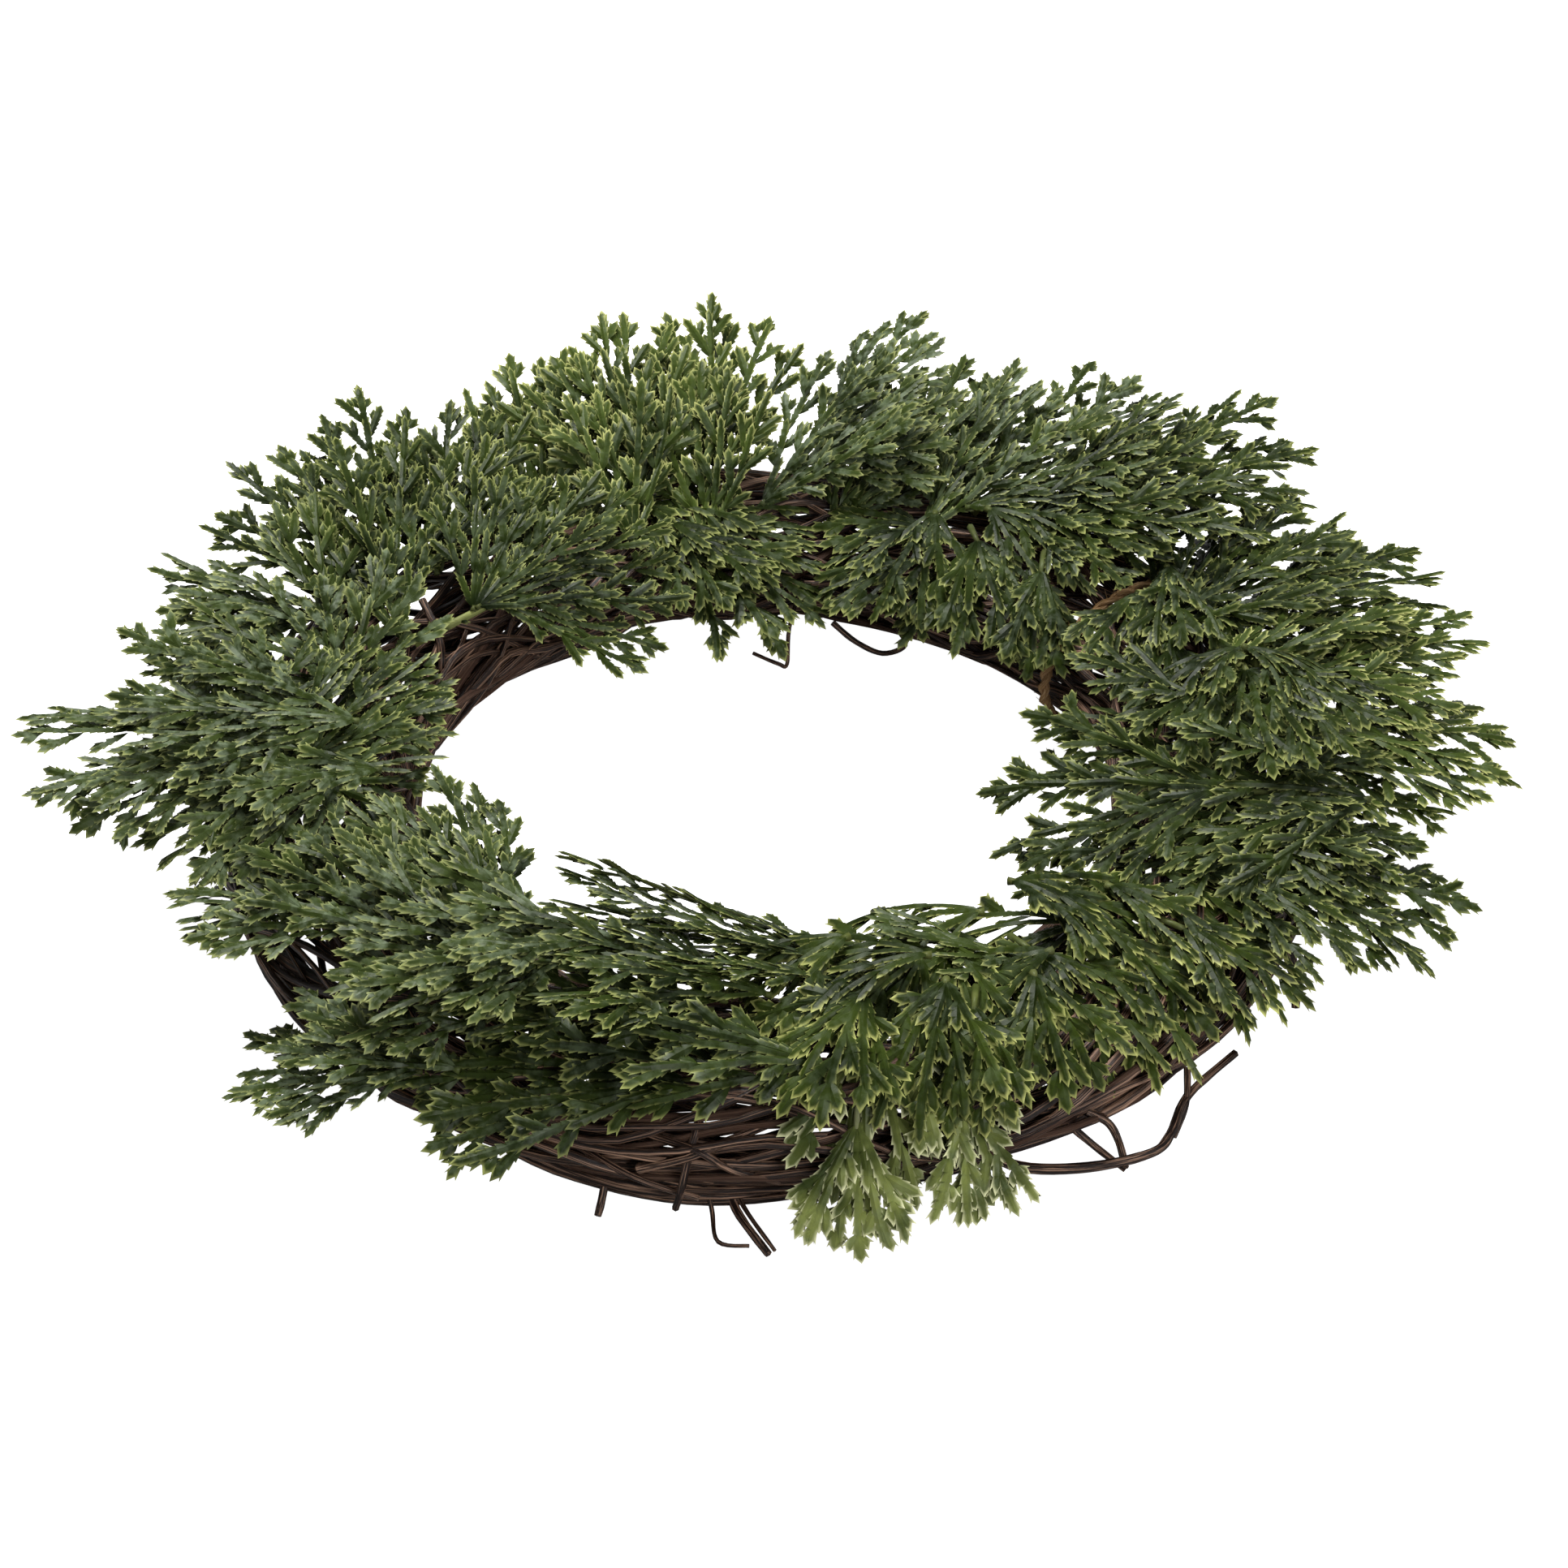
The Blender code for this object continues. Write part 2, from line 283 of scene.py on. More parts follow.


# %% [markdown]
# ## Bark
# Grapevine bark is dark brown, almost black, with paler streaks along the wood where the outer skin has
# split; on the vines the palest streaks are light enough to be painted highlights as well. A noise makes
# them. It reads the grain note, in which a step along the twig counts for far less than a step round it,
# so its spots are drawn out into streaks that stay with the twig at every bend. The streaks are one
# group, used for colour and for bump, and for the jute as well.

# %% The streaks
def streak_group():
    """Streaks along a twig: a mask for colour, and a height for bump."""
    group, given, wanted = new_group(
        "wood_streaks",
        (("Scale", "Float", 1.0), ("Stretch", "Float", 0.25)),
        (("Streaks", "Float"), ("Height", "Float")))
    links = group.links
    note = node(group, "ShaderNodeAttribute", attribute_name="grain")
    stretch = node(group, "ShaderNodeCombineXYZ")
    links.new(given["Stretch"], stretch.inputs["X"])
    set_inputs(stretch, {"Y": 1.0, "Z": 1.0})
    drawn = node(group, "ShaderNodeVectorMath", operation="MULTIPLY")
    links.new(note.outputs["Vector"], drawn.inputs[0])
    links.new(stretch.outputs[0], drawn.inputs[1])
    fine = node(group, "ShaderNodeTexNoise")
    set_inputs(fine, {"Detail": 5.0, "Roughness": 0.65})
    links.new(drawn.outputs[0], fine.inputs["Vector"])
    links.new(given["Scale"], fine.inputs["Scale"])
    links.new(fine.outputs["Fac"], wanted["Streaks"])
    broad = node(group, "ShaderNodeTexNoise")
    set_inputs(broad, {"Scale": 0.9})
    links.new(drawn.outputs[0], broad.inputs["Vector"])
    both = node(group, "ShaderNodeMath", operation="ADD")
    links.new(fine.outputs["Fac"], both.inputs[0])
    links.new(broad.outputs["Fac"], both.inputs[1])
    links.new(both.outputs[0], wanted["Height"])
    return group


STREAKS = streak_group()
print("group", STREAKS.name, "with", len(STREAKS.nodes), "nodes")

# %% [markdown]
# ## Wood finishes from the streaks
# The mask picks between three browns: the groove, the bark and the pale split, which on the bark finish
# is also a painted highlight. The bark has a dull gloss, as if waxed. One vine is a second finish, lighter
# and more even, because its bark has rubbed off.

# %% Bark and rubbed vine
STREAK_STOPS = (0.3, 0.5, 0.68)  # where on the mask the groove, the bark and the pale split lie


def wood_material(name, dark, middle, pale, scale=1.0, rough=0.62, depth=0.0006):
    made, tree, shader = new_finish(name)
    streaks = node(tree, "ShaderNodeGroup", node_tree=STREAKS)
    set_inputs(streaks, {"Scale": scale})
    colour = ramp(tree, streaks.outputs["Streaks"], tuple(zip(STREAK_STOPS, (dark, middle, pale))))
    tree.links.new(colour, shader.inputs["Base Color"])
    bump_from(tree, streaks.outputs["Height"], shader, depth, 0.8)
    set_inputs(shader, {"Roughness": rough, "Specular IOR Level": 0.3})
    return made


# the pale split colour is light enough to paint highlights on the vines, as well as their split skin
BARK = wood_material("grapevine_bark", (0.003, 0.0014, 0.001), (0.017, 0.0075, 0.005), (0.55, 0.33, 0.22),
                     rough=0.34, depth=0.0003)
BARE = wood_material("rubbed_vine", (0.03, 0.014, 0.009), (0.085, 0.042, 0.026), (0.2, 0.12, 0.08))
print("wood finishes:", BARK.name, BARE.name)

# %% [markdown]
# ## The vine round
# The model has thirteen vines: one flat hoop that the ring rests on, eight wound round the outside of the
# bundle and four wound the other way inside. On the real ring each is a thick twig with thinner ones
# that run beside it and stray from it. Each of our pieces is one of the model's vines with such
# companions, six outside and three inside, some wound once round the bundle and some lying along it.
# All have a slow waver and a few knots. The waver is noise read along a circle, because that ends where
# it began, as a closed twig has to.

# %% One closed twig
ROUND_STEPS = 132  # points in one round of the ring
KNOTS, KNOT_SWELL = 8, 0.3  # on each twig, and how much thicker it is there
DIP, DIP_SWING = 1.2, 5.0  # mm that a twig lies under the skin, and how far that wanders


def waver(seed, i, size, turns):
    """A smooth wander that closes on itself after one round; more turns make it quicker."""
    a = 2 * math.pi * i / ROUND_STEPS
    return size * noise.noise(Vector((turns * math.cos(a), turns * math.sin(a), seed)))


def wind(bm, start, twists, deep, radius, seed, swing):
    """One closed twig wound round the bundle: it strays round it by its swing (radians), and inwards."""
    rng = random.Random(seed)
    knots = [rng.randrange(ROUND_STEPS) for _ in range(KNOTS)]
    points, thick = [], []
    for i in range(ROUND_STEPS):
        turn = 2 * math.pi * i / ROUND_STEPS
        around = start + twists * turn + waver(seed + 5.1, i, swing, 1.4) + waver(seed + 3.3, i, 0.1, 6.0)
        depth = deep + radius - VINE_R + max(0.0, DIP + waver(seed, i, DIP_SWING, 1.7))
        points.append(on_bundle(turn, around, depth))
        swell = 1.0 + waver(seed + 9.7, i, 0.35, 7.0)
        thick.append(radius * (swell + (KNOT_SWELL if i in knots else 0.0)))
    lay_twig(bm, points, thick, closed=True)


# %% Wind the vines
THICK_R, THIN_R = 1.15, (0.5, 1.0)  # mm: the twig that follows the model's vine, and its companions
RUBBED = 5  # the sixth outer vine has lost its bark
VINE_LAYERS = (
    # name, vines, turns round the bundle in one round of the ring, depth, and the companions' turns
    ("outer", 8, 2, 0.0, (0, 1, -1, 0, 1, 0)),
    ("inner", 4, -1, 2 * VINE_R + GAP, (1, 0, 0)),
)


def vine_piece(name, start, twists, deep, companions, seed, material):
    rng = random.Random(seed + 500)
    bm = twig_bmesh()
    wind(bm, start, twists, deep, THICK_R, seed, swing=0.5)
    for k, other in enumerate(companions):
        wind(bm, start + rng.uniform(0.3, 5.9), other, deep, rng.uniform(*THIN_R), seed + 21 + k, swing=1.7)
    finish_piece(name.replace("vine_", "grapevine_"), bm, material, [name])


for layer, count, twists, deep, companions in VINE_LAYERS:
    for k in range(count):
        vine_piece(f"vine_{layer}_{k + 1}", 2 * math.pi * k / count, twists, deep, companions,
                   seed=10 * k + twists, material=BARE if k == RUBBED else BARK)
print("wound", sum(count for _, count, *_ in VINE_LAYERS), "vines round the bundle")

# %% The hoop that the ring rests on
bm = twig_bmesh()
points = [Vector((round_middle(t) * math.cos(t), round_middle(t) * math.sin(t), HOOP_TOP / 2))
          for t in (2 * math.pi * i / ROUND_STEPS for i in range(ROUND_STEPS))]
lay_twig(bm, points, [HOOP_TOP / 2] * ROUND_STEPS, closed=True)
finish_piece("grapevine_base_hoop", bm, BARK, ["vine_base_hoop"])
print("laid the lowest vine,", round(HOOP_TOP, 2), "mm high")

# %% [markdown]
# ## Loose ends
# Vine ends spring out of such a bundle, and in the model four of them stand clear of it. Each of our
# pieces begins with the model's twig, and has thinner ones that are only looks: forks at the front
# right, a loop and a curved end at the back, and at the bare front some low strands with three cut
# twigs across them. Each is a smooth curve through a few points, and tapers towards its cut end.

# %% One twig end
TAPER = 0.75  # how thick a twig still is where it ends


def rounded(points, steps=6):
    """A smooth run through the given points, with this many steps from each to the next."""
    run = [Vector(p) for p in points]
    smooth = []
    for i in range(len(run) - 1):
        a, b, c, d = run[max(i - 1, 0)], run[i], run[i + 1], run[min(i + 2, len(run) - 1)]
        for k in range(steps):
            t = k / steps
            smooth.append(0.5 * (2 * b + (c - a) * t + (2 * a - 5 * b + 4 * c - d) * t * t
                                 + (3 * b - a - 3 * c + d) * t ** 3))
    return smooth + [run[-1]]


def twig_end(bm, radius, points):
    run = rounded(points)
    thick = [radius * (1 - (1 - TAPER) * i / len(run)) * (1 + 0.12 * noise.noise(p * 0.4))
             for i, p in enumerate(run)]
    lay_twig(bm, run, thick)


# %% Lay the loose ends
LOOSE_ENDS = {
    # for each end: its radius, and the points that it passes, in mm
    "twig_long_bent": (
        (1.15, ((38, -103, 12), (47, -106, 9), (60, -105, 8), (72, -101, 8), (76, -96, 8.5), (80, -86, 9.5),
                (90, -74, 10))),
        (0.9, ((60, -96, 14), (64, -97, 12), (66, -99, 9), (67, -104, 7))),
        (0.8, ((56, -98, 13), (62, -101, 9), (67, -104, 6.5))),
        (0.7, ((80, -82, 13), (79.5, -88, 9), (77, -93, 5)))),
    "twig_hanging": (
        (1.2, ((100, -48, 22), (102.5, -52.5, 17), (103.5, -55, 12), (103.5, -57, 7.6))),
        (0.6, ((92, -62, 20), (97, -64, 15), (99, -63, 12)))),
    "twig_front_split": (
        (1.0, ((-8, -106, 9), (-6, -112, 4), (0, -122, 1.8))),
        (0.55, ((-7, -107, 8), (-4.5, -112, 4.5), (1.2, -121.5, 2.2))),
        (0.5, ((-12, -108, 10), (-10.5, -112, 4), (-9.3, -119, 2.2), (-3.5, -120, 2))),
        (0.9, ((-12, -108, 25), (-14.5, -114, 19.2), (-16, -115.5, 12), (-17.2, -114.2, 6.2))),
        (0.9, ((-30, -105, 8), (-31.1, -109.2, 3.8), (-31.8, -111.5, 2))),
        (1.2, ((-70, -80, 15), (-50, -98, 10), (-28, -108, 6.5), (-5, -110, 6), (15, -106, 10),
               (30, -99, 16))),
        (1.0, ((-62, -90, 10), (-40, -103.5, 6.5), (-15, -110, 4.5), (10, -109, 6), (35, -103, 10),
               (50, -96, 16))),
        (1.1, ((-48, -96, 17), (-30, -105, 12), (-10, -109, 8.5), (12, -108.5, 6), (36, -103, 6),
               (55, -94, 9))),
        (0.9, ((-58, -92, 13), (-35, -104, 11), (-14, -108.5, 10), (8, -107.5, 11), (30, -100, 15))),
        (0.9, ((-60, -91, 8), (-42, -102, 8), (-20, -109.5, 7), (4, -110, 7.5), (24, -106, 7),
               (46, -98, 11))),
        (0.8, ((-44, -99.5, 11), (-26, -107, 9), (-8, -110, 7), (8, -109, 8), (26, -105, 7),
               (42, -99, 11))),
        (1.0, ((-24, -112.5, 14.5), (-15, -114.8, 19), (-6.7, -113, 21.8), (1, -110, 23.4))),
        (0.9, ((-21.6, -110, 20.5), (-12.7, -114.6, 20.3), (-6.7, -115, 16.3), (2.2, -114.3, 12.6))),
        (0.8, ((-37, -106, 16), (-25, -112, 12), (-12.8, -113.5, 8)))),
    "twig_back_loop": (
        (0.7, ((14.5, 73, 12), (19.5, 71.5, 8), (25.5, 70.5, 5.5), (30.5, 71.5, 7), (28.5, 72.5, 11))),
        (0.55, ((8, 75, 22), (5, 71, 12), (4.5, 68, 4.5), (2.5, 67.6, 4.8), (-3, 70, 6))),
        (0.9, ((-73, 49, 34), (-69.4, 42, 30), (-68.5, 37, 26), (-69.5, 36.6, 20)))),
}
for name, ends in LOOSE_ENDS.items():
    bm = twig_bmesh()
    for radius, points in ends:
        twig_end(bm, radius, points)
    finish_piece(name.replace("twig_", "loose_twig_"), bm, BARK, [name])
print("laid", sum(len(e) for e in LOOSE_ENDS.values()), "loose ends")

# %% [markdown]
# ## The jute tie
# Jute twine is two plies of pale, hairy fibre twisted together. Each ply is a twig of its own here, laid
# as a helix round the line of the tie, because the twist is what tells twine from a rod. Short fine
# hairs stand off it in all directions. It starts and ends under the bundle, where one end hangs loose
# and frays. The finish is the wood's streaks again, finer, matt and the colour of straw.

# %% Twist the twine
TIE_ANGLE, TIE_R = 33.0, 1.35  # its place on the ring in degrees, its radius in mm
TIE_FROM, TIE_ROUND, TIE_STEPS = -62, 304, 120  # degrees round the bundle, and the steps along it
PLY_OFF, PLY_R, PLY_LAY = 0.62, 0.72, 9  # mm off the line, radius in mm, steps in one twist
HAIRS, FRAYED = 130, 16
JUTE = wood_material("jute_fibre", (0.17, 0.085, 0.032), (0.42, 0.24, 0.10), (0.80, 0.56, 0.33),
                     scale=2.2, rough=0.9, depth=0.0004)


def lay_tie(rng):
    bm = twig_bmesh()
    turn = math.radians(TIE_ANGLE)
    line = []
    for i in range(TIE_STEPS + 1):
        around = math.radians(TIE_FROM + TIE_ROUND * i / TIE_STEPS)
        line.append((around, on_bundle(turn, around, -VINE_R - TIE_R - GAP)))
    outward = [Vector((math.cos(a) * math.cos(turn), math.cos(a) * math.sin(turn), math.sin(a)))
               for a, _ in line]
    sideways = Vector((-math.sin(turn), math.cos(turn), 0))
    for ply in range(2):
        points = []
        for i, (_, p) in enumerate(line):
            lay = 2 * math.pi * i / PLY_LAY + math.pi * ply
            points.append(p + PLY_OFF * (math.cos(lay) * outward[i] + math.sin(lay) * sideways))
        lay_twig(bm, points, [PLY_R] * len(points))
    for _ in range(HAIRS):
        i = rng.randrange(len(line))
        way = Vector((rng.uniform(-1, 1), rng.uniform(-1, 1), rng.uniform(-1, 1))).normalized()
        start = line[i][1] + way * 0.6
        lay_twig(bm, [start, start + way * 1.2, start + way * 2.2 + Vector((0, 0, rng.uniform(-0.8, 0.5)))],
                 [0.07, 0.06, 0.04])
    inner_end = line[-1][1]
    for _ in range(FRAYED):
        drop = Vector((rng.uniform(-2.6, 2.6), rng.uniform(-2.6, 2.6), -rng.uniform(1.0, 2.6)))
        lay_twig(bm, [inner_end, inner_end + drop * 0.5, inner_end + drop], [0.2, 0.12, 0.06])
    finish_piece("jute_twine", bm, JUTE, ["jute_tie"])


lay_tie(random.Random(7))
print("tied with", TIE_ROUND, "degrees of twine,", HAIRS, "hairs")

# %% [markdown]
# ## A cedar leaflet
# A moulded cedar spray is built from one motif: a narrow strip with a raised rib, sharp teeth that point
# forward along both edges, and a pointed end. We make that motif once for each length and each of four
# slight bends, and copy it thousands of times, so it has few faces. First comes the strip: a row of
# three vertices, the middle one raised, is extruded along, and both its ends are merged to a point.
# Three notes go with it for the finish: `pale` where the plastic is thin and yellow-green, `under` on
# the lower rib, and `tipward` for how near to the tip of a fan a vertex lies.

# %% The strip and its rib
TOOTH_STEP = 1.5  # mm from tooth to tooth
HALF_NOTCH, HALF_TOOTH = 0.84, 1.28  # mm from the rib to a notch, and to a tooth's point
RIB_UP, RIB_DOWN = 0.50, 0.20  # mm that the rib stands up, and down on the underside
LAST_POINT = 0.9  # tooth steps from the last notch to the end point


def leaf_bmesh():
    """An empty bmesh with the three notes."""
    bm = bmesh.new()
    for name in ("under", "tipward"):
        bm.verts.layers.float.new(name)
    bm.loops.layers.float.new("pale")
    return bm


def fullness(share):
    """How wide the strip is along its length: it starts slim."""
    return min(1.0, 0.7 + 0.6 * share)


def rib_strip(bm, teeth):
    """The upper face of a leaflet with this many notches, still without its teeth."""
    start = [bm.verts.new((0.0, 0.6 * HALF_NOTCH * side, RIB_UP if side == 0 else 0.0))
             for side in (-1, 0, 1)]
    across = [bm.edges.new(start[:2]), bm.edges.new(start[1:])]
    for i in range(1, teeth + 2):
        made = bmesh.ops.extrude_edge_only(bm, edges=across)["geom"]
        row = sorted((g for g in made if isinstance(g, bmesh.types.BMVert)), key=lambda v: v.co.y)
        for v, side in zip(row, (-1, 0, 1)):
            v.co = (TOOTH_STEP * i, HALF_NOTCH * fullness(i / teeth) * side, RIB_UP if side == 0 else 0.0)
        across = [bm.edges.get(row[:2]), bm.edges.get(row[1:])]
    bmesh.ops.pointmerge(bm, verts=row, merge_co=(TOOTH_STEP * (teeth + LAST_POINT), 0.0, 0.0))
    base = [v for v in bm.verts if v.co.x < 0.01]
    bmesh.ops.pointmerge(bm, verts=base, merge_co=(0.0, 0.0, 0.0))


# %% [markdown]
# ## Its teeth
# Each edge between two notches is split, and its middle is drawn out to a tooth and joined to the rib,
# so that each tooth has its own little ridge. No two teeth are quite alike, as on a real sprig. Their
# points are thinnest, so they and the end get the strongest `pale` note.

# %% Draw out the teeth
def draw_teeth(bm, teeth, rng):
    sides = [e for e in bm.edges if e.is_boundary and all(abs(v.co.y) > 0.1 for v in e.verts)]
    split = bmesh.ops.bisect_edges(bm, edges=sides, cuts=1)["geom_split"]
    barbs = [g for g in split if isinstance(g, bmesh.types.BMVert)]
    for v in barbs:
        i = round(v.co.x / TOOTH_STEP + 0.5)
        out = HALF_TOOTH * fullness(i / teeth) * rng.uniform(0.86, 1.1)
        ahead = 0.35 if i == teeth else rng.uniform(-0.12, 0.12)
        v.co = (TOOTH_STEP * (i + ahead), math.copysign(out, v.co.y), rng.uniform(-0.12, 0.12))
    for v in barbs:
        ribs = [w for w in v.link_faces[0].verts if abs(w.co.y) < 0.001]
        for rib in ribs:
            bmesh.ops.connect_vert_pair(bm, verts=[v, rib])


def mark_pale(bm, teeth):
    """Note how thin the plastic is at each corner: the teeth most, the rib least."""
    pale = bm.loops.layers.float["pale"]
    for face in bm.faces:
        for loop in face.loops:
            share = loop.vert.co.x / (TOOTH_STEP * teeth)
            tooth = abs(loop.vert.co.y) > 1.05 * HALF_NOTCH or share > 1.01
            on_rib = abs(loop.vert.co.y) < 0.01 and share < 1.01
            loop[pale] = (0.0 if share < 0.8 else 0.3) if on_rib else (0.6 if tooth else 0.4) + 0.4 * share


# %% [markdown]
# ## Its underside
# The underside is a flatter copy that shares the outline: a negative scale turns it over, its doubles
# are merged along the edge, and the normals are made to point outwards again, because the scale turned
# them inwards. The rim and the ribs stay sharp, and the rest is shaded smooth.

# %% Close the leaflet, and cut every length and bend
def add_underside(bm):
    under = bm.verts.layers.float["under"]
    copied = bmesh.ops.duplicate(bm, geom=bm.verts[:] + bm.edges[:] + bm.faces[:])["geom"]
    below = [g for g in copied if isinstance(g, bmesh.types.BMVert)]
    bmesh.ops.scale(bm, vec=(1.0, 1.0, -RIB_DOWN / RIB_UP), verts=below)
    for v in below:
        v[under] = 1.0 if v.co.z < 0 and abs(v.co.y) < 0.01 else 0.0
        if abs(v.co.y) > 0.01:
            v.co.z *= -RIB_UP / RIB_DOWN
    bmesh.ops.remove_doubles(bm, verts=bm.verts[:], dist=0.001)
    bmesh.ops.recalc_face_normals(bm, faces=bm.faces[:])
    for edge in bm.edges:
        sides = [f.normal.z > 0 for f in edge.link_faces]
        along_rib = all(abs(v.co.y) < 0.01 for v in edge.verts)
        edge.smooth = sides[0] == sides[1] and not along_rib


def cut_leaflet(teeth, bow, droop, rng):
    """A leaflet with this many notches; its end is bowed sideways and droops (shares of its length)."""
    bm = leaf_bmesh()
    rib_strip(bm, teeth)
    draw_teeth(bm, teeth, rng)
    mark_pale(bm, teeth)
    add_underside(bm)
    length = TOOTH_STEP * (teeth + LAST_POINT)
    for v in bm.verts:
        share = v.co.x / length
        v.co.y += bow * length * share ** 2
        v.co.z -= droop * length * share ** 2
    return as_mesh(bm, f"leaflet_{teeth}")


MOST_TEETH = 10
BENDS = ((-0.09, 0.05), (0.0, 0.10), (0.09, -0.03), (0.04, 0.08))  # bow and droop
LEAFLETS = {teeth: [cut_leaflet(teeth, bow, droop, random.Random(teeth * 10 + k))
                    for k, (bow, droop) in enumerate(BENDS)] for teeth in range(2, MOST_TEETH + 1)}
print("faces in each leaflet:", {teeth: len(same[0].polygons) for teeth, same in LEAFLETS.items()})

# %% [markdown]
# ## From leaflets to a spray
# On the real spray, branches fan out from the end of a bare stem. Each branch carries side branchlets,
# left and right by turns, that sweep forward at about thirty degrees, and the longer ones fork again.
# We lay copies of the leaflets flat along those lines first, because a flat fan is easy to plan. Each
# copy is tipped a little about its own length, so that it takes the light at its own angle.

# %% Lay one leaflet, or a branchlet of them
FORWARD = (0.42, 0.6)  # radians from a branch to its branchlet
LONG, VERY_LONG = 7.0, 11.5  # mm: longer branchlets than this fork once, or twice


def lay_leaflet(bm, spot, way, length, wide, lift, tip):
    """One leaflet: where it starts, its heading (radians), size in mm, and its tilts."""
    teeth = max(2, min(MOST_TEETH, round(length / TOOTH_STEP) - 1))
    first = len(bm.verts)
    bend = int(abs(spot.x * 7.3 + way * 5.1 + tip * 11.7)) % len(BENDS)  # one of the four, well mixed
    bm.from_mesh(LEAFLETS[teeth][bend])
    bm.verts.ensure_lookup_table()
    natural = TOOTH_STEP * (teeth + LAST_POINT)
    place = (Matrix.Translation(spot) @ Matrix.Rotation(way, 4, "Z") @ Matrix.Rotation(-lift, 4, "Y")
             @ Matrix.Rotation(tip, 4, "X") @ Matrix.Diagonal((length / natural, wide, 1.0, 1.0)))
    bmesh.ops.transform(bm, matrix=place, verts=bm.verts[first:])


def branchlet(bm, rng, spot, way, length, side):
    """A side branchlet that forks once or twice if it is long enough."""
    lift = rng.uniform(-0.16, 0.12)
    lay_leaflet(bm, spot, way, length, rng.uniform(0.9, 1.1), lift, rng.uniform(-0.35, 0.35))
    for share in (0.32, 0.56) if length > VERY_LONG else (0.45,) if length > LONG else ():
        side = -side
        place = spot + Vector((math.cos(way), math.sin(way), math.sin(lift))) * length * share
        place.z -= 0.3
        lay_leaflet(bm, place, way + side * rng.uniform(*FORWARD), length * rng.uniform(0.4, 0.52),
                    rng.uniform(0.85, 1.0), lift + rng.uniform(-0.2, 0.1), rng.uniform(-0.3, 0.3))


# %% [markdown]
# ## A branch and its stem
# A branch is walked in short steps. Every second step lays a leaflet on its middle line, every step lays
# a branchlet to one side, and three leaflets close its end. Branchlets are shorter near the hub, where
# the next branch is close, and towards the end, which gives each branch the outline of a feather. It is
# built in a bmesh of its own, because adding to a small one is much quicker. The stem is a tapered rod
# with a few small leaflets as thorns.

# %% Walk along a branch
STEP = 4.5  # mm from one branchlet to the next
END_ROOM = 7.5  # mm left for the leaflets that close the end
BARE_START = 0.14  # share of a branch that has no branchlets


def add_to(whole, part, place):
    """Move a finished part to its place and copy it into the whole."""
    bmesh.ops.transform(part, matrix=place, verts=part.verts[:])
    mesh = as_mesh(part, "part")
    whole.from_mesh(mesh)
    bpy.data.meshes.remove(mesh)


def branch(whole, rng, hub, way, length, room, bow):
    """One branch of the fan, from the hub to its pointed end, bowed a little (radians for each mm)."""
    bm = leaf_bmesh()
    spot, far, turn, side = Vector(), 0.0, 0.0, rng.choice((-1, 1))
    while far < length - END_ROOM:
        if round(far / STEP) % 2 == 0:
            lay_leaflet(bm, spot + Vector((0, 0, 0.2)), turn, 2.7 * STEP, 0.85, 0.0,
                        rng.uniform(-0.15, 0.15))
        if far > BARE_START * length:
            reach = min(0.4 * (length - far) + 5.0, room * far + 5.5) * rng.uniform(0.85, 1.15)
            branchlet(bm, rng, spot - Vector((0, 0, 0.2)), turn + side * rng.uniform(*FORWARD), reach, side)
            side = -side
        spot += Vector((math.cos(turn), math.sin(turn), -0.002 * far)) * STEP
        far += STEP
        turn += (bow + rng.uniform(-0.006, 0.006)) * STEP
    for fork, share in ((0.0, 1.0), (0.5, 0.72), (-0.5, 0.72)):
        lay_leaflet(bm, spot - Vector((0, 0, 0.25 if fork else 0.0)), turn + fork,
                    (length - far + 1.0) * share, 1.1, rng.uniform(-0.1, 0.05), rng.uniform(-0.25, 0.25))
    tilted = (Matrix.Rotation(rng.uniform(-0.13, 0.13), 4, "Y")
              @ Matrix.Rotation(rng.uniform(-0.35, 0.35), 4, "X"))
    add_to(whole, bm, Matrix.Translation(hub) @ Matrix.Rotation(way, 4, "Z") @ tilted)


# %% The bare stem
THORNS = ((0.35, 0.5), (0.5, -0.5), (0.65, 0.5), (0.8, -0.5), (0.9, 0.5))  # share of the stem, heading
THORNY, STOUT = 9, 14  # mm: longer stems than this have thorns, or are thick


def stem_rod(bm, length):
    for share, way in THORNS if length > THORNY else ():
        lay_leaflet(bm, Vector((length * share, 0, 0)), way, 3.6, 0.55, 0.0, 0.0)
    thick = 1.25 if length > STOUT else 0.75
    made = bmesh.ops.create_cone(bm, cap_ends=True, segments=6, radius1=thick, radius2=0.7 * thick,
                                 depth=length)
    bmesh.ops.rotate(bm, cent=(0, 0, 0), matrix=Matrix.Rotation(math.pi / 2, 3, "Y"), verts=made["verts"])
    bmesh.ops.translate(bm, vec=(length / 2, 0, 0), verts=made["verts"])
    bmesh.ops.triangulate(bm, faces=list({f for v in made["verts"] for f in v.link_faces}))
    pale = bm.loops.layers.float["pale"]
    for v in made["verts"]:
        for loop in v.link_loops:
            loop[pale] = 0.8 if thick > 1 else 0.6


# %% [markdown]
# ## A whole fan
# Branches are set side by side round the end of the stem, the middle ones longest. Then the flat fan is
# cupped across and curled down along its length, as warm plastic is when it leaves the mould.

# %% Curl a fan
CUP = 0.0022  # the fan is hollow underneath: drop in mm for each mm squared


def curl(bm, length, bend, stem, reach):
    per_mm = math.radians(bend) / length
    tipward = bm.verts.layers.float["tipward"]
    for v in bm.verts:
        x, y, z = v.co
        v[tipward] = min(1.0, math.hypot(x - stem, y) / reach) if x > stem * 0.6 else 0.0
        z -= CUP * y * y
        a = per_mm * x
        v.co = (math.sin(a) / per_mm + z * math.sin(a), y, -(1 - math.cos(a)) / per_mm + z * math.cos(a))


